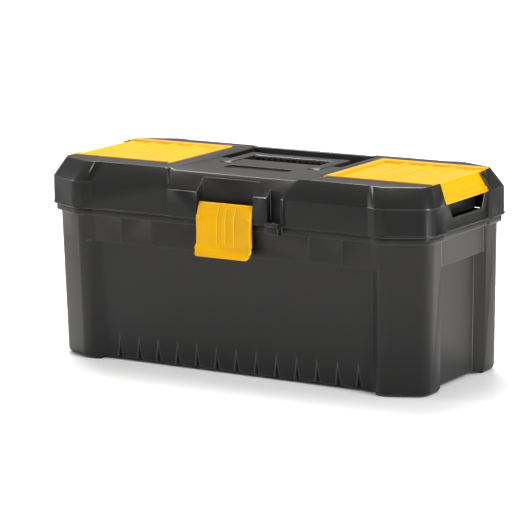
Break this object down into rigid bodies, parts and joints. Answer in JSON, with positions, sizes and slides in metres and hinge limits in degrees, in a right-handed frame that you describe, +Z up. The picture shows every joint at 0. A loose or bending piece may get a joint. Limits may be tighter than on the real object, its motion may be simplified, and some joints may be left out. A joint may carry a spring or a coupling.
{
  "type": "toolbox with tray",
  "caption": "Moulded toolbox with a lift-out tray, a hinged lid with organiser bays under flip lids, a folding carry handle and a wide front latch.",
  "frame": {"origin": "centre of the footprint, on the surface that the feet stand on", "axes": "+X to the right along the box, +Y to the hinge side at the back, +Z up; the latch is at -Y"},
  "size_m": [0.406, 0.187, 0.1878],
  "materials": {
    "shell": "fine moulded texture, dark grey polypropylene",
    "tray": "fine moulded texture, black polypropylene",
    "yellow": "satin moulded yellow polypropylene",
    "steel": "drawn wire, zinc plated"
  },
  "bodies": {
    "base": {"base_shell": "shell", "hinge_pin_left": "steel", "hinge_pin_right": "steel"},
    "tray": {"inner_tray": "tray"},
    "lid": {"lid_shell": "shell", "latch_pin": "steel", "handle_pin_left": "steel", "handle_pin_right": "steel"},
    "organiser_right": {"organiser_lid_right": "yellow"},
    "organiser_left": {"organiser_lid_left": "yellow"},
    "handle": {"carry_handle": "shell"},
    "latch": {"front_latch": "yellow"}
  },
  "joints": [
    {"name": "lid_hinge", "type": "hinge", "parent": "base", "child": "lid", "pos_m": [0, 0.0905, 0.144], "axis": [-1, 0, 0], "range_deg": [0, 110]},
    {"name": "tray_lift", "type": "slide", "parent": "base", "child": "tray", "axis": [0, 0, 1], "range_m": [0, 0.05]},
    {"name": "latch_hinge", "type": "hinge", "parent": "lid", "child": "latch", "pos_m": [0, -0.0795, 0.156], "axis": [-1, 0, 0], "range_deg": [0, 100]},
    {"name": "handle_fold", "type": "hinge", "parent": "lid", "child": "handle", "pos_m": [0, -0.0055, 0.1795], "axis": [1, 0, 0], "range_deg": [0, 90]},
    {"name": "organiser_hinge_right", "type": "hinge", "parent": "lid", "child": "organiser_right", "pos_m": [0.0836, 0, 0.1857], "axis": [0, -1, 0], "range_deg": [0, 95]},
    {"name": "organiser_hinge_left", "type": "hinge", "parent": "lid", "child": "organiser_left", "pos_m": [-0.0836, 0, 0.1857], "axis": [0, 1, 0], "range_deg": [0, 95]}
  ],
  "couplings": [
    {"joint": "tray_lift", "follows": "lid_hinge", "m_per_rad": 0.026}
  ]
}
